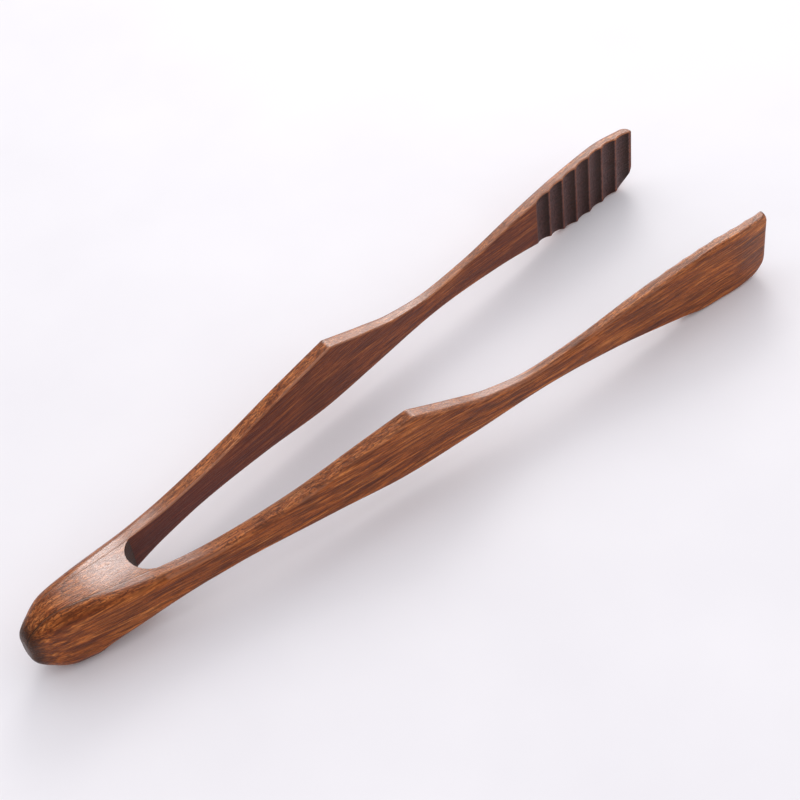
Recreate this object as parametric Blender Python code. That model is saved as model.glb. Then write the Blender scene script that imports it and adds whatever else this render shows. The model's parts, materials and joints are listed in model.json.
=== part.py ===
"""Spring loaded wooden kitchen tongs: two arms glued to a tapered wedge block at the head.

Metres, +Z up. The tongs stand on their lower edges. +X runs from the head to the toothed tips, the
plane y = 0 lies midway between the arms, and the origin is under the middle of the object.
Each real arm is one strip of wood, which bends just ahead of the head. Here it is cut at the middle
of that bend, into a root glued to the wedge and an arm that turns about a vertical axis.
"""

import math

import bmesh
import bpy

MM = 0.001

# Places along the length
LENGTH = 280 * MM
BUTT_X = -LENGTH / 2
TIP_X = LENGTH / 2
SLOT_X = -96.5 * MM  # front corners of the wedge, where the gap between the arms begins
FLEX_X = SLOT_X + 40 * MM  # middle of the stretch that bends
PEAK_X = -7.5 * MM  # finger stop, a sharp corner of the upper edge
TEETH_X = 90.3 * MM  # where the toothed pad begins

# Plan view of the left half, in mm: (x, y) points on the arm's inner and outer faces
INNER_FACE = (
    (-140, 2.0), (-96.5, 7.6), (-50, 14.0), (-12, 18.3), (33, 23.6),
    (60, 25.9), (92, 28.1), (117, 30.2), (128, 31.0), (140, 30.9),
)
OUTER_FACE = (
    (-140, 5.2), (-128, 8.0), (-118, 10.0), (-107, 11.8), (-96.5, 13.1), (-50, 19.7), (-12, 23.8),
    (33, 27.7), (60, 29.7), (92, 32.6), (117, 34.6), (128, 35.5), (140, 35.2),
)

# Side view, in mm: (x, z) points on the lower edge and on the upper edge, which is in two
# stretches because it has a corner at the finger stop
LOWER_EDGE = (
    (-140, 1.6), (-132, 0.3), (-127, 0), (-123, 0), (-117, 1.9), (-107, 4.3), (-96.5, 6.4), (-84, 8.3),
    (-68, 9.3), (-40, 8.2), (-12, 6.1), (10, 7.0), (42, 8.7), (70, 7.0), (100, 2.4), (112, 0), (122, 0), (140, 1.0),
)
UPPER_EDGE_TO_PEAK = (
    (-140, 24.8), (-128, 24.7), (-118, 23.5), (-107, 21.5), (-96.5, 20.1), (-82, 19.3), (-68, 20.0),
    (-50, 22.1), (-25, 26.8), (-7.5, 30.0),
)
UPPER_EDGE_FROM_PEAK = (
    (-7.5, 30.0), (8, 24.1), (22, 19.5), (38, 17.4), (56, 18.7), (81, 22.4), (105, 25.2),
    (120, 26.0), (140, 24.7),
)

# Rounding of the outer edges, in mm: (x, radius) points, softest round the head
EDGE_RADIUS = ((-140, 5.5), (-120, 4.6), (-97, 2.6), (-76, 1.5), (108, 1.3), (140, 1.8))
NOSE_LENGTH = 12 * MM
FACET_WIDTH = 0.6  # size of the flat end-grain facet, as shares of the head's section
FACET_HEIGHT = 0.42
TIP_CORNER_LENGTH = 8 * MM  # lower corner of each tip, a quarter of an ellipse
TIP_CORNER_HEIGHT = 9 * MM
TIP_EDGE_RADIUS = 2.6 * MM  # outer edge of each tip's end
LEAST_FLAT = 0.3 * MM  # narrowest flat left between two rounded edges

# Slot end, teeth and joint
SLOT_END_RADIUS = 8.3 * MM
TEETH = 7
TIP_LAND = 1 * MM  # flat face left between the last tooth and the tip's end
TOOTH_DEPTH = 0.8 * MM
GLUE_GAP = 0.3 * MM
FLEX_GAP = 0.3 * MM
WEDGE_TRIM = 1 * MM  # the wedge stops this far short of the slot's corners, which are knife-thin

# Fineness
ARC_STEPS = 4
NOSE_STEPS = 6
HEAD_STEPS = 8
ROOT_STEPS = 8
HALF_ROUND_STEPS = 5
GRIP_STEPS = 11
NECK_STEPS = 22
PAD_STEPS = 8
CORNER_STEPS = 8
SCALLOP_SIDES = 64
SLOT_SIDES = 72
SHARP_ANGLE = math.radians(35)

# Cutters stand upright through the whole height
CUTTER_DEPTH = 80 * MM
CUTTER_MIDDLE = 15 * MM

# Finishes
WOOD_BROWN = (0.235, 0.085, 0.036, 1)
WOOD_ROUGHNESS = 0.42
WEDGE_BROWN = (0.2, 0.072, 0.034, 1)
WEDGE_ROUGHNESS = 0.45


def smooth_curve(points):
    """A smooth function through (x, value) points in mm, for x in metres. It never overshoots them."""
    xs = [x * MM for x, _ in points]
    values = [value * MM for _, value in points]
    steps = [(values[i + 1] - values[i]) / (xs[i + 1] - xs[i]) for i in range(len(xs) - 1)]
    slopes = [steps[0]]
    for before, after in zip(steps, steps[1:]):
        slopes.append(2 * before * after / (before + after) if before * after > 0 else 0.0)
    slopes.append(steps[-1])

    def curve(x):
        i = max(0, min(len(steps) - 1, sum(x >= knot for knot in xs) - 1))
        width = xs[i + 1] - xs[i]
        u = (x - xs[i]) / width
        rise = (3 - 2 * u) * u * u
        start_bend = u * (1 - u) ** 2 * width * slopes[i]
        end_bend = (u - 1) * u * u * width * slopes[i + 1]
        return values[i] * (1 - rise) + values[i + 1] * rise + start_bend + end_bend

    return curve


inner_face = smooth_curve(INNER_FACE)
outer_face = smooth_curve(OUTER_FACE)
lower_edge = smooth_curve(LOWER_EDGE)
upper_edge_to_peak = smooth_curve(UPPER_EDGE_TO_PEAK)
upper_edge_from_peak = smooth_curve(UPPER_EDGE_FROM_PEAK)
edge_radius = smooth_curve(EDGE_RADIUS)


def nose(x, facet):
    """How far the head's section has grown at x: facet at the butt, 1 from the nose's end on."""
    left = max(0.0, 1 - (x - BUTT_X) / NOSE_LENGTH)
    return math.sqrt(1 - left * left * (1 - facet**2))


def fall(distance, radius):
    """How far a quarter-round of this radius falls off, at this distance past its start."""
    past = min(max(0.0, distance), radius)
    return radius - math.sqrt(radius**2 - past**2)


def section(x):
    """The arm's section at x: inner and outer distance, bottom, top, and the outer edges' radius."""
    upper_edge = upper_edge_to_peak if x <= PEAK_X else upper_edge_from_peak
    middle = (lower_edge(x) + upper_edge(x)) / 2
    half = (upper_edge(x) - lower_edge(x)) / 2 * nose(x, FACET_HEIGHT)
    corner_shape = TIP_CORNER_HEIGHT / TIP_CORNER_LENGTH
    low = middle - half + corner_shape * fall(x - TIP_X + TIP_CORNER_LENGTH, TIP_CORNER_LENGTH)
    high = middle + half
    outer = outer_face(x) * nose(x, FACET_WIDTH) - fall(x - TIP_X + TIP_EDGE_RADIUS, TIP_EDGE_RADIUS)
    inner = inner_face(x)
    radius = min(edge_radius(x), outer - LEAST_FLAT, (high - low) / 2 - LEAST_FLAT)
    return inner, outer, low, high, radius


def arm_ring(x, inner, outer, low, high, radius):
    """One ring of an arm: a flat inner face, and outer edges rounded from where that face meets them."""
    centre = outer - radius
    start = max(0.0, inner - centre)
    first = math.asin(start / radius)
    skipped = 1 if start > 0 else 0
    arc = [(inner, fall(start, radius))]
    for i in range(skipped, skipped + ARC_STEPS + 1):
        turn = first + (math.pi / 2 - first) * i / (ARC_STEPS + skipped)
        arc.append((centre + radius * math.sin(turn), radius - radius * math.cos(turn)))
    above = [(x, y, high - drop) for y, drop in arc]
    below = [(x, y, low + drop) for y, drop in reversed(arc)]
    return above + below


def spaced(start, end, count):
    return [start + (end - start) * i / count for i in range(count + 1)]


def nose_stations():
    """Places along the nose, closer together towards the butt, where it curves most."""
    turns = [math.pi / 2 * i / NOSE_STEPS for i in range(NOSE_STEPS)]
    return [BUTT_X + NOSE_LENGTH * (1 - math.cos(turn)) for turn in turns]


def root_rings():
    """An arm's root, from the butt to the flat end that faces the flex joint."""
    end = FLEX_X - flex_radius() - FLEX_GAP
    stations = nose_stations() + spaced(BUTT_X + NOSE_LENGTH, SLOT_X, HEAD_STEPS)
    stations += spaced(SLOT_X, end, ROOT_STEPS)[1:]
    return [arm_ring(x, *section(x)) for x in stations]


def flex_radius():
    """Half the arm's thickness at the flex joint."""
    return (outer_face(FLEX_X) - inner_face(FLEX_X)) / 2


def arm_rings():
    """A free arm: a half-round end about the flex axis, then the strip as far as the tip."""
    inner, outer, low, high, _ = section(FLEX_X)
    middle, half = (inner + outer) / 2, flex_radius()
    rings = []
    for i in range(1, HALF_ROUND_STEPS):
        turn = math.pi / 2 * i / HALF_ROUND_STEPS
        width = half * math.sin(turn)
        radius = min(edge_radius(FLEX_X), 2 * width - LEAST_FLAT)
        x = FLEX_X - half * math.cos(turn)
        rings.append(arm_ring(x, middle - width, middle + width, low, high, radius))
    corner = TIP_X - TIP_CORNER_LENGTH
    stations = spaced(FLEX_X, PEAK_X, GRIP_STEPS) + spaced(PEAK_X, TEETH_X, NECK_STEPS)[1:]
    stations += spaced(TEETH_X, corner, PAD_STEPS)[1:]
    turns = [math.pi / 2 * i / CORNER_STEPS for i in range(1, CORNER_STEPS)]
    stations += [corner + TIP_CORNER_LENGTH * math.sin(turn) for turn in turns]
    stations.append(TIP_X)
    return rings + [arm_ring(x, *section(x)) for x in stations]


def wedge_ring(x):
    """One ring of the wedge block, flush with the roots above and below."""
    inner, outer, low, high, radius = section(x)
    across = [(inner - GLUE_GAP) * share for share in (-1, -0.5, 0, 0.5, 1)]
    drops = [fall(abs(y) - (outer - radius), radius) for y in across]
    below = [(x, y, low + drop) for y, drop in zip(across, drops)]
    above = [(x, y, high - drop) for y, drop in zip(across, drops)]
    return below + above[::-1]


def wedge_rings():
    """The wedge block, from the butt to just short of the slot's corners."""
    stations = nose_stations() + spaced(BUTT_X + NOSE_LENGTH, SLOT_X - WEDGE_TRIM, HEAD_STEPS)
    return [wedge_ring(x) for x in stations]


def collection(name):
    found = bpy.data.collections.new(name)
    bpy.context.scene.collection.children.link(found)
    return found


def material(name, colour, roughness):
    made = bpy.data.materials.new(name)
    made.use_nodes = True
    shader = made.node_tree.nodes["Principled BSDF"]
    shader.inputs["Base Color"].default_value = colour
    shader.inputs["Roughness"].default_value = roughness
    shader.inputs["Metallic"].default_value = 0.0
    made.diffuse_color = colour
    return made


def loft(name, rings, side, origin, finish, group):
    """A closed solid through rings of equal counts, mirrored to y < 0 where side is -1."""
    bm = bmesh.new()
    loops = []
    for ring in rings:
        places = ((x - origin[0], y * side - origin[1], z - origin[2]) for x, y, z in ring)
        loops.append([bm.verts.new(place) for place in places])
    for before, after in zip(loops, loops[1:]):
        for i in range(len(before)):
            j = (i + 1) % len(before)
            bm.faces.new((before[i], before[j], after[j], after[i]))
    bm.faces.new(loops[0])
    bm.faces.new(loops[-1])
    bmesh.ops.recalc_face_normals(bm, faces=bm.faces)
    mesh = bpy.data.meshes.new(name)
    bm.to_mesh(mesh)
    bm.free()
    mesh.materials.append(finish)
    mesh.shade_smooth()
    mesh.set_sharp_from_angle(angle=SHARP_ANGLE)
    obj = bpy.data.objects.new(name, mesh)
    obj.location = origin
    group.objects.link(obj)
    return obj


def cutter(name, x, y, radius, sides, group):
    """A tall upright cylinder for cutting, standing at (x, y)."""
    bpy.ops.mesh.primitive_cylinder_add(
        vertices=sides, radius=radius, depth=CUTTER_DEPTH, location=(x, y, CUTTER_MIDDLE)
    )
    obj = bpy.context.object
    obj.name = name
    for other in obj.users_collection:
        other.objects.unlink(obj)
    group.objects.link(obj)
    obj.hide_render = True
    obj.display_type = "WIRE"
    return obj


def cut(obj, tool):
    modifier = obj.modifiers.new(tool.name, "BOOLEAN")
    modifier.operation = "DIFFERENCE"
    modifier.solver = "EXACT"
    modifier.object = tool


def cut_teeth(arm, side, cutters):
    """A row of upright scallops across the inner face of the tip, with sharp ridges between them."""
    pitch = (TIP_X - TIP_LAND - TEETH_X) / TEETH
    radius = (pitch * pitch / 4 + TOOTH_DEPTH**2) / (2 * TOOTH_DEPTH)
    for i in range(TEETH):
        start, end = TEETH_X + pitch * i, TEETH_X + pitch * (i + 1)
        rise = (inner_face(end) - inner_face(start)) / pitch
        lean = math.atan(rise)
        back = radius - TOOTH_DEPTH
        x = (start + end) / 2 + back * math.sin(lean)
        y = (inner_face(start) + inner_face(end)) / 2 - back * math.cos(lean)
        name = f"{arm.name}_scallop_{i + 1}"
        cut(arm, cutter(name, x, y * side, radius, SCALLOP_SIDES, cutters))


def build_side(label, side, wood, parts, cutters):
    """One arm of the tongs: its root at the head, and its free part on the flex axis."""
    loft(f"{label}_arm_root", root_rings(), side, (0, 0, 0), wood, parts)
    pivot_y = side * (inner_face(FLEX_X) + outer_face(FLEX_X)) / 2
    arm = loft(f"{label}_arm", arm_rings(), side, (FLEX_X, pivot_y, 0), wood, parts)
    cut_teeth(arm, side, cutters)


def build_wedge(finish, parts, cutters):
    wedge = loft("wedge_block", wedge_rings(), 1, (0, 0, 0), finish, parts)
    corner = inner_face(SLOT_X)
    centre_x = SLOT_X + math.sqrt(SLOT_END_RADIUS**2 - corner**2)
    cut(wedge, cutter("slot_end_cutter", centre_x, 0, SLOT_END_RADIUS, SLOT_SIDES, cutters))


def build_tongs():
    for obj in list(bpy.data.objects):
        bpy.data.objects.remove(obj, do_unlink=True)
    parts, cutters = collection("kitchen_tongs"), collection("cutters")
    arm_wood = material("arm_wood", WOOD_BROWN, WOOD_ROUGHNESS)
    wedge_wood = material("wedge_wood", WEDGE_BROWN, WEDGE_ROUGHNESS)
    build_wedge(wedge_wood, parts, cutters)
    build_side("left", 1, arm_wood, parts, cutters)
    build_side("right", -1, arm_wood, parts, cutters)


build_tongs()
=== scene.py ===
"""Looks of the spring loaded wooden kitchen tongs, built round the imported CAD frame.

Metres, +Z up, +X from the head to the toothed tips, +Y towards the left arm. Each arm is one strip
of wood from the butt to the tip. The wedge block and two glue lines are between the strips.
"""

import json
import math

import bmesh
import bpy
from mathutils import Matrix, Vector, noise


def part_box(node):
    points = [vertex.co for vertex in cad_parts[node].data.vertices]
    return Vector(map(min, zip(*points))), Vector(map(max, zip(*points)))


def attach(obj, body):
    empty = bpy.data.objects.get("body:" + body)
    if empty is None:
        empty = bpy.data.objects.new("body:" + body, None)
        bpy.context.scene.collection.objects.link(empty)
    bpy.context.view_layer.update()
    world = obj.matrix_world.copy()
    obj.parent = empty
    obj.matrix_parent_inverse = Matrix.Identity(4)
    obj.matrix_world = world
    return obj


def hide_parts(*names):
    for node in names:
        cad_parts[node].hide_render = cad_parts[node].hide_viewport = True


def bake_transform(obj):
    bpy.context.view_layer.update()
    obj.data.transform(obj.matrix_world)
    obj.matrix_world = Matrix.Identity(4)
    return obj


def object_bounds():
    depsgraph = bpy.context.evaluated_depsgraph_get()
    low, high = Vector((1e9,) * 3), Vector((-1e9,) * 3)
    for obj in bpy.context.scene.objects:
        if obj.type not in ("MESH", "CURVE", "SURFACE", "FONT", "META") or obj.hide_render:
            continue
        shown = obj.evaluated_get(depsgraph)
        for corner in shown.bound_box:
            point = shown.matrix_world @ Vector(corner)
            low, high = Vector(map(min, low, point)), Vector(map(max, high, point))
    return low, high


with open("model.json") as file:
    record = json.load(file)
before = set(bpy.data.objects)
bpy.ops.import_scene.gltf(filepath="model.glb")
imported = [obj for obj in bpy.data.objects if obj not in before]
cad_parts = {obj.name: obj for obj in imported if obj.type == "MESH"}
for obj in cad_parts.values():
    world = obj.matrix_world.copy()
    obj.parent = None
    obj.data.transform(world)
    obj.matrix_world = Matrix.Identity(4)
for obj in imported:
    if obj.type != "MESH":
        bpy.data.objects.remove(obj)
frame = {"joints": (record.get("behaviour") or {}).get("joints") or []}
cad_low, cad_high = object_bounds()

MM = 0.001

# Places along the length. The butt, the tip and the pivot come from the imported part.
BUTT_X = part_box("wedge_block")[0].x
TIP_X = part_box("left_arm")[1].x
PIVOT_X = frame["joints"][0]["pos_m"][0]
SLOT_X = PIVOT_X - 40 * MM
PEAK_X = -7.5 * MM
TEETH_X = 90.3 * MM

# Plan view of the left half, in mm: (x, y) points on the arm's inner and outer faces
INNER_FACE = (
    (-140, 2.0), (-96.5, 7.6), (-50, 14.0), (-12, 18.3), (33, 23.6),
    (60, 25.9), (92, 28.1), (117, 30.2), (128, 31.0), (140, 30.9),
)
OUTER_FACE = (
    (-140, 5.2), (-128, 8.0), (-118, 10.0), (-107, 11.8), (-96.5, 13.1), (-50, 19.7), (-12, 23.8),
    (33, 27.7), (60, 29.7), (92, 32.6), (117, 34.6), (128, 35.5), (140, 35.2),
)

# Side view, in mm: (x, z) points on the lower edge and on the two stretches of the upper edge
LOWER_EDGE = (
    (-140, 1.6), (-132, 0.3), (-127, 0), (-123, 0), (-117, 1.9), (-107, 4.3), (-96.5, 6.4),
    (-84, 8.3), (-68, 9.3), (-40, 8.2), (-12, 6.1), (10, 7.0), (42, 8.7), (70, 7.0), (100, 2.4),
    (112, 0), (122, 0), (140, 1.0),
)
UPPER_EDGE_TO_PEAK = (
    (-140, 24.8), (-128, 24.7), (-118, 23.5), (-107, 21.5), (-96.5, 20.1), (-82, 19.3), (-68, 20.0),
    (-50, 22.1), (-25, 26.8), (-7.5, 30.0),
)
UPPER_EDGE_FROM_PEAK = (
    (-7.5, 30.0), (8, 24.1), (22, 19.5), (38, 17.4), (56, 18.7), (81, 22.4), (105, 25.2),
    (120, 26.0), (140, 24.7),
)

# Rounding, in mm: (x, radius) points for the outer edges, and the same for the inner edges
EDGE_RADIUS = ((-140, 5.5), (-120, 4.6), (-97, 2.6), (-76, 1.5), (108, 1.3), (140, 1.8))
INNER_EASE = ((-140, 0.12), (-115, 0.07), (-98, 0.04), (-88, 0.5), (0, 0.55), (140, 0.5))
NOSE_LENGTH = 12 * MM
FACET_WIDTH = 0.6  # shares of the section's width and height that are left at the butt facet
FACET_HEIGHT = 0.42
FACET_EASE = 1.1 * MM
TIP_CORNER_LENGTH = 8 * MM
TIP_CORNER_HEIGHT = 9 * MM
TIP_EDGE_RADIUS = 2.6 * MM
TIP_EASE = 0.5 * MM
LEAST_FLAT = 0.3 * MM
LEAST_SIDE = 0.1 * MM
SHARP_ANGLE = math.radians(40)

# Teeth, slot end and glue
TEETH = 7
TIP_LAND = 1 * MM
TOOTH_DEPTH = 0.8 * MM
TOOTH_PITCH = (TIP_X - TIP_LAND - TEETH_X) / TEETH
RIDGE_LAND = 0.35 * MM
LEFT_TOP_CUT = 0.85  # shares of the scallops' depth that are left at the upper edges
RIGHT_TOP_CUT = 0.3
TOP_CUT_START = 0.7  # how far up the inner face the scallops begin to grow shallower
ROUNDING_ERROR = 1e-9
SLOT_END_RADIUS = 8.3 * MM
AT_SLOT = 0.05 * MM  # how near to the slot's end counts as on it
GLUE = 0.05 * MM
GLUE_FILL = 0.4  # half the film's thickness, as a share of the joint's
GLUE_SINK = 0.02 * MM
GLUE_START = 0.3 * MM  # how far the film stays back from the butt, and from the slot
GLUE_END = 0.5 * MM
GLUE_STATION_GAP = 1.2 * MM

# Unevenness of the hand-sanded faces: size, waves per metre along and up, and noise seeds
WAVINESS = 0.12 * MM
WAVES_ALONG = 45
WAVES_UP = 60
TOP_WAVE_Z = 0.7
TOP_SEED = 5
LEFT_SEED = 3.0
RIGHT_SEED = 11.0
CALM_LENGTH = 20 * MM  # the stretch from the slot's end over which the unevenness grows

# Painted shade on the inner faces, polish, wear with painted highlight, and glue seams: (x in mm,
# amount) points
# How strongly painted shade darkens the inner faces along the length, most towards the slot
INNER_SHADE_ALONG = (
    (-140, 1.0), (-75, 1.0), (-45, 0.7), (-15, 0.45), (40, 0.45), (90, 0.6), (140, 0.7),
)
# How polished the top is along the length: it sets the coat's shine and the painted sheen's even tone
POLISH = (
    (-140, 0.1), (-122, 0.15), (-114, 0.55), (-106, 1.0), (-88, 1.0), (-74, 0.2), (-12, 0.15),
    (-6, 0.25), (26, 0.3), (44, 0.15), (140, 0.12),
)
SEAM_DARKNESS = ((-140, 0.7), (-118, 0.55), (-108, 0.25), (-96, 0.1), (140, 0.0))
RIGHT_HEAD_DULLNESS = 0.65  # polish that the head's right half lacks
DULLNESS_LENGTH = 15 * MM
DULLNESS_WIDTH = 7 * MM
SLOPE_WEAR_AND_HIGHLIGHT = 2.4  # wear and painted highlight on the tops ahead of the finger stops, which face the window, for each unit of polish
# Lighter outer edges: wear with a painted highlight along the round
OUTER_EDGE_WEAR_AND_HIGHLIGHT = 0.7
OUTER_WEAR_AND_HIGHLIGHT_PLACE = 0.35  # where on the outer round the wear and painted highlight are strongest, and how wide they are
OUTER_WEAR_AND_HIGHLIGHT_WIDTH = 0.25
TOP_FADE = 1.6
RIDGE_SCRAPING = 0.24  # how much of the scallops' roughness shows on the ridges between them
# Lighter ridge lines: wear with painted highlight
RIDGE_WEAR_AND_HIGHLIGHT = 0.5
# Painted shade on the inner faces: strongest at the bottom, falling by this share towards the top
SHADE_AT_BOTTOM = 1.15
SHADE_FALL = 0.3
LEFT_SEAM = 0.3
RIGHT_SEAM = 1.0
SEAM_FRINGE = 0.4
BUTT_END_GRAIN = (0.8 * MM, 6.0 * MM)
TIP_END_GRAIN = 0.8 * MM

# Shift of each piece's wood, in mm, so that no two show the same grain
LEFT_GRAIN = 0.0
RIGHT_GRAIN = 57.0
WEDGE_GRAIN = 31

# Per-point facts that the wood's nodes read
MASKS = ("flute", "wear", "inside", "top", "ends", "seam", "polish")
PLAIN = (0.0, 0.0, 0.0, 0.0)

# Mesh fineness
EASE_STEPS = 4
EDGE_STEPS = 14
OUTER_STEPS = 9
INNER_STEPS = 12
FACET_STEPS = 6
TOOTH_STEPS = 14
TIP_STEPS = 4
STATION_GAP = 0.9 * MM
NOSE_STATION_GAP = 0.6 * MM
WEDGE_HALF_COLUMNS = 14
WEDGE_STEPS = 60
WEDGE_LEVELS = (0, 0.02, 0.15, 0.32, 0.5, 0.68, 0.85, 0.98, 1)
SLOT_PASSES = 12


# ---------------------------------------------------------------- shape of the strips


def smooth_curve(points):
    """A smooth function through (x, value) points in mm, for x in metres. It never overshoots them."""
    xs = [x * MM for x, _ in points]
    values = [value * MM for _, value in points]
    steps = [(values[i + 1] - values[i]) / (xs[i + 1] - xs[i]) for i in range(len(xs) - 1)]
    slopes = [steps[0]]
    for before, after in zip(steps, steps[1:]):
        slopes.append(2 * before * after / (before + after) if before * after > 0 else 0.0)
    slopes.append(steps[-1])

    def curve(x):
        i = max(0, min(len(steps) - 1, sum(x >= knot for knot in xs) - 1))
        width = xs[i + 1] - xs[i]
        u = (x - xs[i]) / width
        rise = (3 - 2 * u) * u * u
        start_bend = u * (1 - u) ** 2 * width * slopes[i]
        end_bend = (u - 1) * u * u * width * slopes[i + 1]
        return values[i] * (1 - rise) + values[i + 1] * rise + start_bend + end_bend

    return curve


inner_face = smooth_curve(INNER_FACE)
outer_face = smooth_curve(OUTER_FACE)
lower_edge = smooth_curve(LOWER_EDGE)
upper_edge_to_peak = smooth_curve(UPPER_EDGE_TO_PEAK)
upper_edge_from_peak = smooth_curve(UPPER_EDGE_FROM_PEAK)
edge_radius = smooth_curve(EDGE_RADIUS)
inner_ease = smooth_curve(INNER_EASE)
inner_shade_along = smooth_curve(INNER_SHADE_ALONG)
polish_at = smooth_curve(POLISH)
seam_darkness = smooth_curve(SEAM_DARKNESS)


def smooth_step(value, low, high):
    share = min(1.0, max(0.0, (value - low) / (high - low)))
    return share * share * (3 - 2 * share)


def nose(x, facet):
    """How far the head's section has grown at x: facet at the butt, 1 from the nose's end on."""
    left = max(0.0, 1 - (x - BUTT_X) / NOSE_LENGTH)
    return math.sqrt(1 - left * left * (1 - facet**2))


def fall(distance, radius):
    """How far a quarter-round of this radius falls off, at this distance past its start."""
    past = min(max(0.0, distance), radius)
    return radius - math.sqrt(radius**2 - past**2)


def section(x):
    """The arm's section at x: inner and outer distance, bottom, top, and the outer edges' radius."""
    upper_edge = upper_edge_to_peak if x <= PEAK_X else upper_edge_from_peak
    middle = (lower_edge(x) + upper_edge(x)) / 2
    half = (upper_edge(x) - lower_edge(x)) / 2 * nose(x, FACET_HEIGHT) - facet_inset(x)
    corner_shape = TIP_CORNER_HEIGHT / TIP_CORNER_LENGTH
    low = middle - half + corner_shape * fall(x - TIP_X + TIP_CORNER_LENGTH, TIP_CORNER_LENGTH)
    high = middle + half
    outer = outer_face(x) * nose(x, FACET_WIDTH) - facet_inset(x)
    outer -= fall(x - TIP_X + TIP_EDGE_RADIUS, TIP_EDGE_RADIUS)
    inner = inner_face(x)
    radius = min(edge_radius(x), outer - LEAST_FLAT, (high - low) / 2 - LEAST_FLAT)
    return inner, outer, low, high, radius


def facet_inset(x):
    """How far the soft rim of the butt facet draws the section in."""
    return fall(BUTT_X + FACET_EASE - x, FACET_EASE)


def tip_inset(x):
    return fall(x - TIP_X + TIP_EASE, TIP_EASE)


def polish(x, y):
    """How far the top is rubbed smooth at a place, for the coat's shine and the painted sheen's even
    tone. The right half of the head is rubbed least.
    """
    on_head = 1 - smooth_step(x, SLOT_X, SLOT_X + DULLNESS_LENGTH)
    to_right = smooth_step(-y, 0.0, DULLNESS_WIDTH)
    return polish_at(x) / MM * (1 - RIGHT_HEAD_DULLNESS * on_head * to_right)


def tooth(x):
    """(depth, flute, ridge) of the toothed pad at x. The scallops meet in narrow ridges.

    flute is 0 outside a scallop and grows from 0.5 to 1 along it. ridge is 1 on a ridge.
    """
    along = (x - TEETH_X) / TOOTH_PITCH
    if not 0 < along < TEETH:
        return 0.0, 0.0, 0.0
    share = along - math.floor(along)
    from_middle = abs(share - 0.5) * TOOTH_PITCH
    reach = (TOOTH_PITCH - RIDGE_LAND) / 2
    if from_middle >= reach - ROUNDING_ERROR:
        return 0.0, 0.0, 1.0
    radius = (reach**2 + TOOTH_DEPTH**2) / (2 * TOOTH_DEPTH)
    depth = math.sqrt(radius**2 - from_middle**2) - radius + TOOTH_DEPTH
    return depth, 0.5 + 0.5 * share, 0.0


def edge_line(inner, outer, radius, ease):
    """(y, drop) points over one edge of a strip: the inner ease, the flat and the outer round."""
    centre = outer - radius
    start = max(0.0, inner + ease - centre)
    first = math.asin(min(1.0, start / radius))
    flat = max(0.0, centre - inner - ease)
    length = flat + radius * (math.pi / 2 - first)
    base = fall(start, radius)
    line = []
    for i in range(EASE_STEPS):
        turn = math.pi / 2 * (1 - i / EASE_STEPS)
        line.append((inner + ease * (1 - math.sin(turn)), base + ease * (1 - math.cos(turn))))
    for i in range(EDGE_STEPS + 1):
        way = length * i / EDGE_STEPS
        if way < flat:
            line.append((inner + ease + way, base))
        else:
            turn = first + (way - flat) / radius
            line.append((centre + radius * math.sin(turn), radius * (1 - math.cos(turn))))
    return line


def wave(x, z, seed):
    """Slight unevenness of a hand-sanded face."""
    return noise.noise(Vector((x * WAVES_ALONG, z * WAVES_UP, seed))) * WAVINESS


def edge_marks(x, line, radius):
    """(wear with painted highlight, top) for each point of an upper edge line. top falls from 1 over
    the outer round.
    """
    # painted highlight with wear on the tops past the finger stops, which face the window
    rubbed_and_shining = SLOPE_WEAR_AND_HIGHLIGHT * polish_at(x) / MM if x > PEAK_X else 0.0
    marks = []
    for i, (_, drop) in enumerate(line):
        past = max(0.0, (drop - line[EASE_STEPS][1]) / radius)
        on_top = max(0.0, 1 - past * TOP_FADE)
        on_inner_edge = 1.0 if i <= EASE_STEPS else 0.0
        on_outer_edge = 0.0
        if x > SLOT_X:
            off_centre = (past - OUTER_WEAR_AND_HIGHLIGHT_PLACE) / OUTER_WEAR_AND_HIGHLIGHT_WIDTH
            on_outer_edge = OUTER_EDGE_WEAR_AND_HIGHLIGHT * math.exp(-(off_centre**2))
        marks.append((max(on_inner_edge, on_outer_edge, rubbed_and_shining * on_top), on_top))
    return marks


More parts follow.
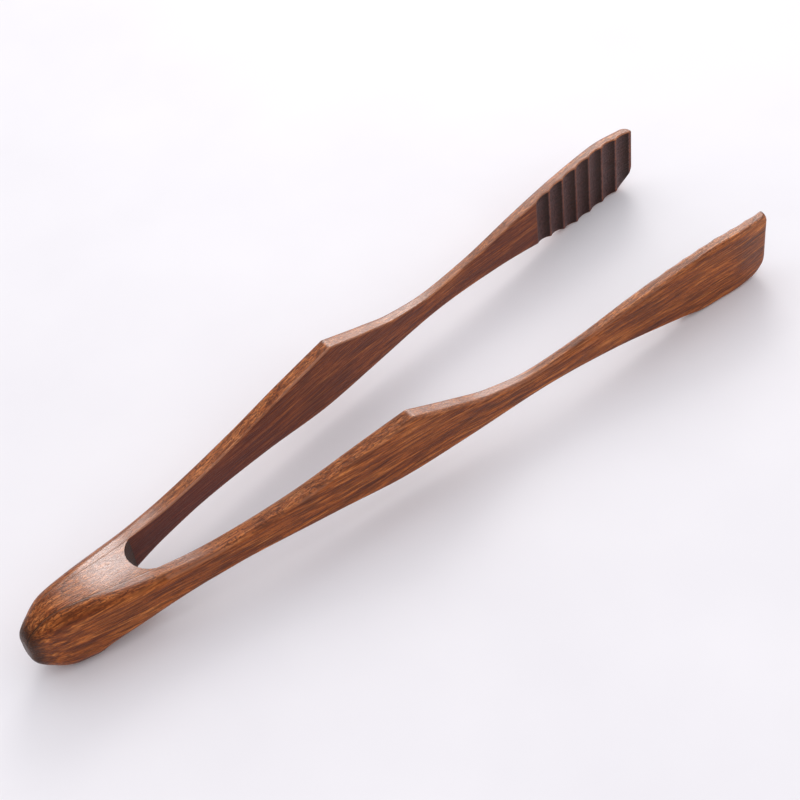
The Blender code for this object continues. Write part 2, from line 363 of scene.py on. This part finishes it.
def strip_ring(x, seed, top_cut):
    """Points of one ring of a strip as (x, y, z), with (flute, wear with painted highlight, painted
    shade inside, top) for each.

    top_cut is the share of the scallops' depth that is left at the upper edge. The ring runs over
    the upper edge, down the outer side, back along the lower edge and up the inner face.
    """
    inner, outer, low, high, radius = section(x)
    depth, flute, ridge = tooth(x)
    inset = tip_inset(x)
    inner, outer, low, high = inner + inset, outer - inset, low + inset, high - inset
    radius = min(radius, high - low - 2 * LEAST_FLAT, (high - low) / 2 - LEAST_SIDE)
    ease = min(inner_ease(x), (outer - inner - depth) / 3)
    upper_line = edge_line(inner + depth * top_cut, outer, radius, ease)
    lower_line = edge_line(inner + depth, outer, radius, ease)
    calm = min(1.0, max(0.0, (x - SLOT_X) / CALM_LENGTH)) * (1 - inset / TIP_EASE)
    high += wave(x, TOP_WAVE_Z, seed + TOP_SEED) * calm
    # painted shade on the inner face at this place
    shade_along = inner_shade_along(x) / MM

    ring = [(x, y, high - drop) for y, drop in upper_line]
    marks = [(0.0, wear, 0.0, on_top) for wear, on_top in edge_marks(x, upper_line, radius)]
    marks[0] = (flute, 0.0, shade_along, 0.0)

    top, bottom = high - upper_line[-1][1], low + lower_line[-1][1]
    for i in range(1, OUTER_STEPS):
        z = top + (bottom - top) * i / OUTER_STEPS
        swell = math.sin(math.pi * i / OUTER_STEPS) * wave(x, z, seed) * calm
        ring.append((x, outer + swell, z))
        marks.append(PLAIN)

    ring += [(x, y, low + drop) for y, drop in reversed(lower_line)]
    marks += [PLAIN] * (len(lower_line) - 1) + [(flute, 0.0, shade_along, 0.0)]

    bottom, top = low + lower_line[0][1], high - upper_line[0][1]
    for i in range(1, INNER_STEPS):
        share = i / INNER_STEPS
        cut = 1 - (1 - top_cut) * smooth_step(share, TOP_CUT_START, 1.0)
        ring.append((x, inner + depth * cut, bottom + (top - bottom) * share))
        # painted shade, darker towards the bottom of the inner face
        inside = shade_along * (SHADE_AT_BOTTOM - SHADE_FALL * share)
        marks.append((flute + RIDGE_SCRAPING * ridge, RIDGE_WEAR_AND_HIGHLIGHT * ridge, inside, 0.0))
    return ring, marks


def spaced(start, end, gap):
    """Places from start up to, but not at, end."""
    count = max(1, round((end - start) / gap))
    return [start + (end - start) * i / count for i in range(count)]


def facet_stations():
    """Places from the butt to the end of the facet's soft rim, closest at the butt."""
    turns = [math.pi / 2 * i / FACET_STEPS for i in range(FACET_STEPS)]
    return [BUTT_X + FACET_EASE * (1 - math.cos(turn)) for turn in turns]


def tooth_stations():
    """Places along the toothed pad, with two at each ridge's edges."""
    found = [TEETH_X]
    for i in range(TEETH):
        start = TEETH_X + TOOTH_PITCH * i + RIDGE_LAND / 2
        end = start + TOOTH_PITCH - RIDGE_LAND
        found += [start + (end - start) * j / TOOTH_STEPS for j in range(TOOTH_STEPS + 1)]
    return found


def strip_stations():
    """Places of a strip's rings, closest where it curves most."""
    nose_end = BUTT_X + NOSE_LENGTH
    found = facet_stations()
    found += spaced(BUTT_X + FACET_EASE, nose_end, NOSE_STATION_GAP)
    found += spaced(nose_end, PEAK_X, STATION_GAP)
    found += spaced(PEAK_X, TEETH_X, STATION_GAP)
    found += tooth_stations()
    last = found[-1]
    ease_start = TIP_X - TIP_EASE
    found += [last + (ease_start - last) * i / 2 for i in (1, 2)]
    turns = [math.pi / 2 * i / TIP_STEPS for i in range(1, TIP_STEPS + 1)]
    return found + [ease_start + TIP_EASE * math.sin(turn) for turn in turns]


# ---------------------------------------------------------------- meshes


def mesh_object(name, points, faces, finish):
    """A smooth-shaded mesh, sharp where its faces meet at a steep angle."""
    mesh = bpy.data.meshes.new(name)
    mesh.from_pydata(points, [], faces)
    bm = bmesh.new()
    bm.from_mesh(mesh)
    bmesh.ops.recalc_face_normals(bm, faces=bm.faces)
    bm.to_mesh(mesh)
    bm.free()
    mesh.shade_smooth()
    mesh.set_sharp_from_angle(angle=SHARP_ANGLE)
    mesh.materials.append(finish)
    obj = bpy.data.objects.new(name, mesh)
    bpy.context.scene.collection.objects.link(obj)
    return obj


def tube_faces(rings, size):
    """Faces of a tube of rings with this many points each, closed at both ends."""
    faces = []
    for i in range(rings - 1):
        for j in range(size):
            k = (j + 1) % size
            faces.append((i * size + j, i * size + k, (i + 1) * size + k, (i + 1) * size + j))
    last = (rings - 1) * size
    return faces + [tuple(range(size)), tuple(range(last, last + size))]


def set_marks(obj, grain, masks):
    """Per-point facts for the wood's nodes: rest place in mm, and a row of MASKS for each point."""
    data = obj.data.attributes.new("grain", "FLOAT_VECTOR", "POINT").data
    data.foreach_set("vector", [c for place in grain for c in place])
    for i, name in enumerate(MASKS):
        values = [row[i] for row in masks]
        obj.data.attributes.new(name, "FLOAT", "POINT").data.foreach_set("value", values)


def end_share(x):
    """How much of the surface at x shows end grain: all of the butt facet and of the tip's end."""
    butt = 1 - smooth_step(x - BUTT_X, *BUTT_END_GRAIN)
    tip = 1 - smooth_step(TIP_X - x, 0.0, TIP_END_GRAIN)
    return max(butt, tip)


def seam_fade(i):
    """How strongly the glue seam darkens a ring's point, counted from the inner edge."""
    if i <= EASE_STEPS:
        return 1.0
    return SEAM_FRINGE if i == EASE_STEPS + 1 else 0.0


def build_strip(name, side, finish, grain_shift, seam_share, top_cut):
    """One whole arm, from the butt to the tip, as a single strip of wood."""
    points, grain, masks = [], [], []
    stations = strip_stations()
    for x in stations:
        ring, marks = strip_ring(x, LEFT_SEED if side > 0 else RIGHT_SEED, top_cut)
        middle = (inner_face(x) + outer_face(x)) / 2
        for i, ((_, y, z), mark) in enumerate(zip(ring, marks)):
            points.append((x, y * side, z))
            across = (y - middle) / MM * side + grain_shift
            grain.append((x / MM + grain_shift, across, z / MM))
            seam = seam_share * seam_darkness(x) / MM * seam_fade(i)
            masks.append((*mark, end_share(x), seam, mark[-1] * polish(x, y * side)))
    faces = tube_faces(len(stations), len(points) // len(stations))
    strip = mesh_object(name, points, faces, finish)
    set_marks(strip, grain, masks)
    return strip


def slot_end_x(y):
    """Where the slot's round end stands at this distance from the middle plane."""
    corner = inner_face(SLOT_X)
    centre = SLOT_X + math.sqrt(SLOT_END_RADIUS**2 - corner**2)
    return centre - math.sqrt(SLOT_END_RADIUS**2 - y * y)


def wedge_column(across):
    """(x, y) places from the butt to the slot end, at this share of the wedge's half width."""
    front = SLOT_X
    for _ in range(SLOT_PASSES):
        front = slot_end_x(across * (inner_face(front) - GLUE))
    start = BUTT_X + FACET_EASE
    places = facet_stations()
    places += [start + (front - start) * i / WEDGE_STEPS for i in range(WEDGE_STEPS + 1)]
    return [(x, across * (inner_face(x) - GLUE)) for x in places]


def wedge_heights(x, y):
    """(bottom, top) of the wedge at a place, with the slight groove along each glue line."""
    inner, outer, low, high, radius = section(x)
    drop = fall(abs(y) - (outer - radius), radius)
    ease = inner_ease(min(x, SLOT_X))
    drop += fall(abs(y) - (inner - GLUE - ease), ease)
    return low + drop, high - drop


def wedge_mask(i, k, place):
    """The row of MASKS for the wedge's point in column i, at level k."""
    x, y, _ = place
    top = float(k == len(WEDGE_LEVELS) - 1)
    at_slot = float(abs(x - slot_end_x(y)) < AT_SLOT and not top)
    seam = seam_darkness(x) / MM if i <= 1 else 0.0
    return 0.0, 0.0, 0.0, top, max(end_share(x), at_slot), seam, top * polish(x, y)


def build_wedge(finish):
    """The block between the strips, with the slot's round end at its front."""
    half = WEDGE_HALF_COLUMNS
    shares = [math.sin(math.pi / 2 * i / half) for i in range(-half, half + 1)]
    columns = [wedge_column(share) for share in shares]
    points, index = [], {}

    def at(i, j, k):
        """The number of the point in column i, at place j along it and level k, made if needed."""
        if (i, j, k) not in index:
            x, y = columns[i][j]
            low, high = wedge_heights(x, y)
            index[i, j, k] = len(points)
            points.append((x, y, low + (high - low) * WEDGE_LEVELS[k]))
        return index[i, j, k]

    faces = []
    wide, long, rows = len(columns) - 1, len(columns[0]) - 1, len(WEDGE_LEVELS) - 1
    for i in range(wide):
        for j in range(long):
            for k in (0, rows):
                faces.append((at(i, j, k), at(i + 1, j, k), at(i + 1, j + 1, k), at(i, j + 1, k)))
        for k in range(rows):
            for j in (0, long):
                faces.append((at(i, j, k), at(i + 1, j, k), at(i + 1, j, k + 1), at(i, j, k + 1)))
    for j in range(long):
        for k in range(rows):
            for i in (0, wide):
                faces.append((at(i, j, k), at(i, j + 1, k), at(i, j + 1, k + 1), at(i, j, k + 1)))
    wedge = mesh_object("wedge", points, faces, finish)
    grain = [(x / MM + WEDGE_GRAIN, y / MM + WEDGE_GRAIN, z / MM) for x, y, z in points]
    set_marks(wedge, grain, [wedge_mask(i, k, place) for (i, _, k), place in zip(index, points)])
    return wedge


def build_glue_line(name, side, finish):
    """The film of glue between a strip and the wedge, just below the surface."""
    end = SLOT_X - GLUE_END
    stations = spaced(BUTT_X + GLUE_START, end, GLUE_STATION_GAP) + [end]
    points = []
    for x in stations:
        y = inner_face(x) - GLUE / 2
        low, high = wedge_heights(x, y - GLUE)
        low, high = low + GLUE_SINK, high - GLUE_SINK
        for dy, z in ((-1, low), (1, low), (1, high), (-1, high)):
            points.append((x, (y + dy * GLUE * GLUE_FILL) * side, z))
    return mesh_object(name, points, tube_faces(len(stations), 4), finish)


# ---------------------------------------------------------------- materials


class Nodes:
    """Short calls for building a material's nodes."""

    def __init__(self, name):
        self.material = bpy.data.materials.new(name)
        self.material.use_nodes = True
        self.tree = self.material.node_tree
        self.shader = self.tree.nodes["Principled BSDF"]

    def join(self, value, socket):
        if isinstance(value, bpy.types.NodeSocket):
            self.tree.links.new(value, socket)
        else:
            socket.default_value = value

    def new(self, kind, **settings):
        made = self.tree.nodes.new(kind)
        for name, value in settings.items():
            setattr(made, name, value)
        return made

    def attribute(self, name, output="Fac"):
        return self.new("ShaderNodeAttribute", attribute_name=name).outputs[output]

    def math(self, operation, first, second=0.0):
        made = self.new("ShaderNodeMath", operation=operation)
        self.join(first, made.inputs[0])
        self.join(second, made.inputs[1])
        return made.outputs[0]

    def scaled(self, vector, scale, shift=(0, 0, 0)):
        made = self.new("ShaderNodeMapping")
        self.join(vector, made.inputs["Vector"])
        made.inputs["Scale"].default_value = scale
        made.inputs["Location"].default_value = shift
        return made.outputs[0]

    def noise(self, vector, detail=2.0, rough=0.5, output="Fac"):
        made = self.new("ShaderNodeTexNoise")
        self.join(vector, made.inputs["Vector"])
        made.inputs["Scale"].default_value = 1.0
        made.inputs["Detail"].default_value = detail
        made.inputs["Roughness"].default_value = rough
        return made.outputs[output]

    def range(self, value, low, high, to_low=0.0, to_high=1.0):
        made = self.new("ShaderNodeMapRange", interpolation_type="SMOOTHSTEP")
        self.join(value, made.inputs["Value"])
        made.inputs["From Min"].default_value = low
        made.inputs["From Max"].default_value = high
        made.inputs["To Min"].default_value = to_low
        made.inputs["To Max"].default_value = to_high
        return made.outputs["Result"]

    def ramp(self, value, stops):
        made = self.new("ShaderNodeValToRGB")
        self.join(value, made.inputs["Fac"])
        elements = made.color_ramp.elements
        for i, (place, colour) in enumerate(stops):
            stop = elements[i] if i < 2 else elements.new(place)
            stop.position = place
            stop.color = (*colour, 1)
        return made.outputs["Color"]

    def mix(self, share, first, second, blend="MIX"):
        made = self.new("ShaderNodeMix", data_type="RGBA", blend_type=blend)
        self.join(share, made.inputs["Factor"])
        for value, socket in ((first, made.inputs["A"]), (second, made.inputs["B"])):
            self.join(value if isinstance(value, bpy.types.NodeSocket) else (*value, 1), socket)
        return made.outputs["Result"]

    def bump(self, height, distance, strength, normal=None):
        made = self.new("ShaderNodeBump")
        made.inputs["Strength"].default_value = strength
        made.inputs["Distance"].default_value = distance
        self.join(height, made.inputs["Height"])
        if normal is not None:
            self.join(normal, made.inputs["Normal"])
        return made.outputs["Normal"]


# Colours are linear. The wood's noise scales are waves per mm along, across and up the piece.
WOOD_TONES = (
    (0.34, (0.17, 0.035, 0.008)),
    (0.46, (0.28, 0.066, 0.012)),
    (0.57, (0.41, 0.106, 0.02)),
    (0.72, (0.64, 0.205, 0.048)),
)
BLOTCH = (0.1, 0.026, 0.014)
DARK_LINE = (0.035, 0.008, 0.004)
# Painted shade on the inner faces: their colour is flattened towards this tint, then darkened by this
# shade
INNER_TINT = (0.22, 0.06, 0.028)
INNER_SHADE = (0.6, 0.5, 0.9)
# Even tone where the top shines: painted sheen that hides the grain under the coat's reflection
EVENED_UNDER_SHEEN = (0.3, 0.09, 0.035)
# Lighter colour of wear with painted highlight, on edges, ridge lines and the tops past the finger
# stops
WORN_AND_HIGHLIT = (0.5, 0.24, 0.15)
SCRAPED = ((0.36, (0.012, 0.006, 0.007)), (0.62, (0.095, 0.052, 0.05)))
# Painted light and shade across each scallop: lighter at its start, darker towards the tip
FLUTE_START_PAINTED_LIGHT = (1.5, 1.34, 1.42)
FLUTE_END_PAINTED_SHADE = (0.15, 0.1, 0.11)
CUT_END = ((0.35, (0.012, 0.005, 0.004)), (0.65, (0.045, 0.016, 0.01)))
SEAM = (0.012, 0.005, 0.004)
VARNISH_TINT = (1.0, 0.75, 0.6, 1)
GLUE_TONES = ((0.35, (0.03, 0.012, 0.008)), (0.65, (0.09, 0.04, 0.022)))
FLOOR_TONES = ((0.3, (0.83, 0.815, 0.835)), (0.7, (0.87, 0.855, 0.87)))
RING_DARKNESS = 0.36
FINE_LINE_DARKNESS = 0.62
DASH_DARKNESS = 0.42
PORE_DARKNESS = 0.75
FINE_BUMP = 0.05 * MM
COAT_BUMP = 0.06 * MM


def grain_place(n):
    """The rest place in mm, as it is and wandering a little across the grain."""
    place = n.attribute("grain", "Vector")
    drift = n.noise(n.scaled(place, (0.011, 0.06, 0.05)), 1.0, output="Color")
    centred = n.new("ShaderNodeVectorMath", operation="SUBTRACT")
    n.join(drift, centred.inputs[0])
    centred.inputs[1].default_value = (0.5, 0.5, 0.5)
    wander = n.new("ShaderNodeVectorMath", operation="MULTIPLY_ADD")
    n.join(centred.outputs[0], wander.inputs[0])
    wander.inputs[1].default_value = (0.0, 5.0, 9.0)
    n.join(place, wander.inputs[2])
    return place, wander.outputs[0]


def growth_rings(n, lines):
    """Thin lines where a slow noise crosses its middle."""
    slow = n.noise(n.scaled(lines, (0.045, 0.85, 0.78), (2, 5, 8)), 1.0)
    return n.range(n.math("ABSOLUTE", n.math("SUBTRACT", slow, 0.5)), 0.012, 0.06, 1.0, 0.0)


def fine_lines(n, lines):
    """Long thin lines, about 0.4 mm across."""
    return n.range(n.noise(n.scaled(lines, (0.12, 2.6, 2.4), (7, 3, 1)), 0.0), 0.52, 0.66)


def pores(n, lines, top):
    """Short dark pores, strongest on the upper edges."""
    found = n.range(n.noise(n.scaled(lines, (0.8, 2.3, 2.1), (1, 4, 2)), 1.0, 0.6), 0.52, 0.62)
    return n.math("MULTIPLY", found, n.range(top, 0.0, 1.0, 0.45, 1.0))


def dashes(n, lines):
    """Shorter and broader marks between the fine lines."""
    return n.range(n.noise(n.scaled(lines, (0.3, 1.9, 1.7), (5, 6, 9)), 1.0), 0.55, 0.64)


def strongest(n, masks):
    """The strongest at each place of some (mask, weight) pairs."""
    weighted = [n.math("MULTIPLY", mask, weight) for mask, weight in masks]
    found = weighted[0]
    for mask in weighted[1:]:
        found = n.math("MAXIMUM", found, mask)
    return found


def plain_colour(n, lines, streaks, blotches, dark, top):
    """The varnished wood's colour before painted shade, wear or cuts, with painted light making the
    upper faces a little lighter.
    """
    bands = n.noise(n.scaled(lines, (0.009, 0.5, 0.33)), 2.0)
    tone = n.math("ADD", streaks, n.math("MULTIPLY", n.math("SUBTRACT", bands, 0.5), 0.3))
    # painted light: the upper faces a little lighter
    tone = n.math("ADD", tone, n.math("MULTIPLY", top, 0.07))
    colour = n.mix(n.range(blotches, 0.52, 0.75, 0.0, 0.4), n.ramp(tone, WOOD_TONES), BLOTCH)
    return n.mix(dark, colour, DARK_LINE)


def used_colour(n, colour, blotches):
    """Adds the painted shade on the inner faces, the painted sheen's even tone where the top is
    polished, and the lighter wear with painted highlight on edges and tops.
    """
    # painted shade on the inner faces
    inside = n.mix(1.0, n.mix(0.6, colour, INNER_TINT), INNER_SHADE, "MULTIPLY")
    colour = n.mix(n.attribute("inside"), colour, inside)
    # painted sheen: the colour evened out where the top is polished
    colour = n.mix(n.math("MULTIPLY", n.attribute("polish"), 0.5), colour, EVENED_UNDER_SHEEN)
    # wear with painted highlight
    worn_and_highlit = n.math("MULTIPLY", n.attribute("wear"), n.range(blotches, 0.35, 0.6, 0.2, 0.5))
    return n.mix(worn_and_highlit, colour, WORN_AND_HIGHLIT)


def cut_colour(n, colour, speckle, in_flute):
    """Adds the rough scallops, each with painted light at its start and painted shade towards the tip,
    the end grain and the glue seams.
    """
    # painted light and shade across each scallop
    light = n.mix(n.range(n.attribute("flute"), 0.5, 1.0), FLUTE_START_PAINTED_LIGHT, FLUTE_END_PAINTED_SHADE)
    scraped = n.mix(1.0, n.ramp(speckle, SCRAPED), light, "MULTIPLY")
    colour = n.mix(in_flute, colour, scraped)
    ends = n.math("MULTIPLY", n.attribute("ends"), 0.88)
    colour = n.mix(ends, colour, n.ramp(speckle, CUT_END))
    return n.mix(n.attribute("seam"), colour, SEAM)


def add_varnish(n, speckle, fine):
    """A thin coat that shines where the top is polished."""
    n.shader.inputs["Specular IOR Level"].default_value = 0.25
    n.shader.inputs["Specular Tint"].default_value = VARNISH_TINT
    rubbed_and_shining = n.range(speckle, 0.3, 0.65, 0.55, 1.0)
    shine = n.math("MULTIPLY", n.math("MULTIPLY", n.attribute("polish"), rubbed_and_shining), 0.95)
    n.join(n.math("ADD", 0.05, shine), n.shader.inputs["Coat Weight"])
    n.shader.inputs["Coat IOR"].default_value = 1.8
    n.shader.inputs["Coat Roughness"].default_value = 0.25
    n.join(n.bump(fine, COAT_BUMP, 0.4), n.shader.inputs["Coat Normal"])


def varnished_wood(name):
    """Dark red-brown hardwood under satin varnish, its grain running along X."""
    n = Nodes(name)
    place, lines = grain_place(n)
    top = n.attribute("top")
    streaks = n.noise(n.scaled(lines, (0.05, 0.95, 0.85)), 2.0, 0.6)
    blotches = n.noise(n.scaled(place, (0.045, 0.16, 0.09), (3, 9, 4)), 2.0)
    speckle = n.noise(n.scaled(place, (2.2, 2.2, 1.2)), 3.0, 0.75)
    fine = n.noise(n.scaled(place, (1.9, 2.4, 2.4)), 2.0, 0.6)
    in_flute = n.range(n.attribute("flute"), 0.1, 0.45, 0.0, 0.92)
    rings, thin, short = growth_rings(n, lines), fine_lines(n, lines), pores(n, lines, top)
    weighted = (
        (rings, RING_DARKNESS),
        (thin, FINE_LINE_DARKNESS),
        (dashes(n, lines), DASH_DARKNESS),
        (short, PORE_DARKNESS),
    )
    dark = strongest(n, weighted)

    colour = plain_colour(n, lines, streaks, blotches, dark, top)
    colour = used_colour(n, colour, blotches)
    colour = cut_colour(n, colour, speckle, in_flute)
    n.join(colour, n.shader.inputs["Base Color"])

    rough = n.range(streaks, 0.35, 0.65, 0.38, 0.48)
    n.join(n.math("ADD", rough, n.math("MULTIPLY", in_flute, 0.12)), n.shader.inputs["Roughness"])
    relief = n.math("SUBTRACT", streaks, n.math("ADD", rings, n.math("ADD", thin, short)))
    normal = n.bump(fine, FINE_BUMP, 0.5, n.bump(relief, FINE_BUMP, 0.6))
    n.join(normal, n.shader.inputs["Normal"])
    add_varnish(n, speckle, fine)
    return n.material


def dried_glue():
    """Dark brown glue with lighter patches."""
    n = Nodes("dried_glue")
    place = n.new("ShaderNodeTexCoord").outputs["Object"]
    patches = n.noise(n.scaled(place, (900, 900, 900)), 2.0)
    n.join(n.ramp(patches, GLUE_TONES), n.shader.inputs["Base Color"])
    n.join(n.range(patches, 0.3, 0.7, 0.3, 0.5), n.shader.inputs["Roughness"])
    return n.material


def pale_floor():
    """Pale matt floor, very slightly mottled."""
    n = Nodes("pale_floor")
    place = n.new("ShaderNodeTexCoord").outputs["Object"]
    mottle = n.noise(n.scaled(place, (14, 14, 14)), 3.0)
    n.join(n.ramp(mottle, FLOOR_TONES), n.shader.inputs["Base Color"])
    n.shader.inputs["Roughness"].default_value = 0.6
    n.shader.inputs["Specular IOR Level"].default_value = 0.2
    return n.material


# ---------------------------------------------------------------- stage

CAMERA_AZIMUTH = math.radians(-33.199)
CAMERA_ELEVATION = math.radians(47.4)
CAMERA_ROLL = math.radians(-8.656)
CAMERA_DISTANCE = 0.5815
CAMERA_TARGET = Vector((0.00903, 0.00823, 0))
CAMERA_LENS = 77.97
CAMERA_SENSOR = 36
CAMERA_CLIP = 0.01

# Two lights stand at the window: one gives the shadows, and a larger one only the sheen.
WINDOW_AZIMUTH = math.radians(48)
WINDOW_ELEVATION = math.radians(32)
WINDOW_DISTANCE = 1.5
WINDOW_SIZE = (0.55, 0.5)
WINDOW_POWER = 4.0
SHEEN_SIZE = (0.8, 0.72)
SHEEN_POWER = 25
WINDOW_COLOUR = (1.0, 0.985, 0.975)
SKY = (0.97, 0.96, 1.0, 1)
SKY_AT_WINDOW = 1.36  # brightness on the window's side
SKY_OPPOSITE = 0.7
SKY_IN_GLOSS = 0.08  # how much of the sky shows in reflections
FLOOR_SIZE = 3.0
FLOOR_STEPS = 24


def direction_to(azimuth, elevation):
    """Unit vector to this azimuth, from +X towards +Y, and elevation."""
    level = math.cos(elevation)
    return Vector((math.cos(azimuth) * level, math.sin(azimuth) * level, math.sin(elevation)))


def aimed(direction, roll=0.0):
    """Rotation whose +Z is this direction and whose +X is level, then rolled."""
    back = direction.normalized()
    right = Vector((0, 0, 1)).cross(back).normalized()
    up = back.cross(right)
    turned = right * math.cos(roll) + up * math.sin(roll)
    upright = up * math.cos(roll) - right * math.sin(roll)
    return Matrix((turned, upright, back)).transposed()


def build_camera():
    """The camera above the butt's right side, looking towards the tips and tilted a little."""
    back = direction_to(CAMERA_AZIMUTH - math.pi / 2, CAMERA_ELEVATION)
    data = bpy.data.cameras.new("camera")
    data.sensor_width = CAMERA_SENSOR
    data.lens = CAMERA_LENS
    data.clip_start = CAMERA_CLIP
    camera = bpy.data.objects.new("camera", data)
    place = Matrix.Translation(CAMERA_TARGET + back * CAMERA_DISTANCE)
    camera.matrix_world = place @ aimed(back, CAMERA_ROLL).to_4x4()
    bpy.context.scene.collection.objects.link(camera)
    bpy.context.scene.camera = camera


def build_window(name, size, power):
    """A soft light beyond the tips, low enough to give the level faces a sheen."""
    towards = direction_to(WINDOW_AZIMUTH, WINDOW_ELEVATION)
    data = bpy.data.lights.new(name, "AREA")
    data.shape = "RECTANGLE"
    data.size, data.size_y = size
    data.energy = power
    data.color = WINDOW_COLOUR
    light = bpy.data.objects.new(name, data)
    light.matrix_world = Matrix.Translation(towards * WINDOW_DISTANCE) @ aimed(towards).to_4x4()
    bpy.context.scene.collection.objects.link(light)
    return light


def build_sky():
    """Soft light from all round, brighter on the window's side, and dimmer in reflections."""
    world = bpy.data.worlds.new("sky")
    bpy.context.scene.world = world
    world.use_nodes = True
    tree = world.node_tree
    background = tree.nodes["Background"]
    background.inputs["Color"].default_value = SKY
    place = tree.nodes.new("ShaderNodeTexCoord")
    towards = tree.nodes.new("ShaderNodeVectorMath")
    towards.operation = "DOT_PRODUCT"
    towards.inputs[1].default_value = (math.cos(WINDOW_AZIMUTH), math.sin(WINDOW_AZIMUTH), 0)
    tree.links.new(place.outputs["Generated"], towards.inputs[0])
    bright = tree.nodes.new("ShaderNodeMapRange")
    bright.interpolation_type = "SMOOTHSTEP"
    bright.inputs["From Min"].default_value = -1
    bright.inputs["To Min"].default_value = SKY_OPPOSITE
    bright.inputs["To Max"].default_value = SKY_AT_WINDOW
    tree.links.new(towards.outputs["Value"], bright.inputs["Value"])
    path = tree.nodes.new("ShaderNodeLightPath")
    dim = tree.nodes.new("ShaderNodeMapRange")
    dim.inputs["To Min"].default_value = 1.0
    dim.inputs["To Max"].default_value = SKY_IN_GLOSS
    tree.links.new(path.outputs["Is Glossy Ray"], dim.inputs["Value"])
    strength = tree.nodes.new("ShaderNodeMath")
    strength.operation = "MULTIPLY"
    tree.links.new(bright.outputs["Result"], strength.inputs[0])
    tree.links.new(dim.outputs["Result"], strength.inputs[1])
    tree.links.new(strength.outputs[0], background.inputs["Strength"])


def build_floor():
    """A plain square floor under the lowest point."""
    places = [FLOOR_SIZE * (i / FLOOR_STEPS - 0.5) for i in range(FLOOR_STEPS + 1)]
    points = [(x, y, cad_low.z) for x in places for y in places]
    faces = []
    for i in range(FLOOR_STEPS):
        for j in range(FLOOR_STEPS):
            a = i * (FLOOR_STEPS + 1) + j
            faces.append((a, a + FLOOR_STEPS + 1, a + FLOOR_STEPS + 2, a + 1))
    mesh_object("floor", points, faces, pale_floor())


# ---------------------------------------------------------------- assembly


def fit_strip(strip, label):
    """Hides the solids that the strip stands for, and bakes the strip's placement into its mesh."""
    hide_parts(f"{label}_arm_root", f"{label}_arm")
    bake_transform(strip)


left_wood = varnished_wood("left_arm_wood")
right_wood = varnished_wood("right_arm_wood")
wedge_wood = varnished_wood("wedge_wood")
glue = dried_glue()

left_strip = build_strip("left_strip", 1, left_wood, LEFT_GRAIN, LEFT_SEAM, LEFT_TOP_CUT)
right_strip = build_strip("right_strip", -1, right_wood, RIGHT_GRAIN, RIGHT_SEAM, RIGHT_TOP_CUT)
fit_strip(left_strip, "left")
fit_strip(right_strip, "right")

wedge = build_wedge(wedge_wood)
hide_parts("wedge_block")
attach(wedge, "head")
for label, side in (("left", 1), ("right", -1)):
    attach(build_glue_line(f"glue_line_{label}", side, glue), "head")

build_floor()
build_sky()
build_window("window", WINDOW_SIZE, WINDOW_POWER).visible_glossy = False
build_window("window_in_gloss", SHEEN_SIZE, SHEEN_POWER).visible_diffuse = False
build_camera()
bpy.context.scene.view_settings.view_transform = "Standard"
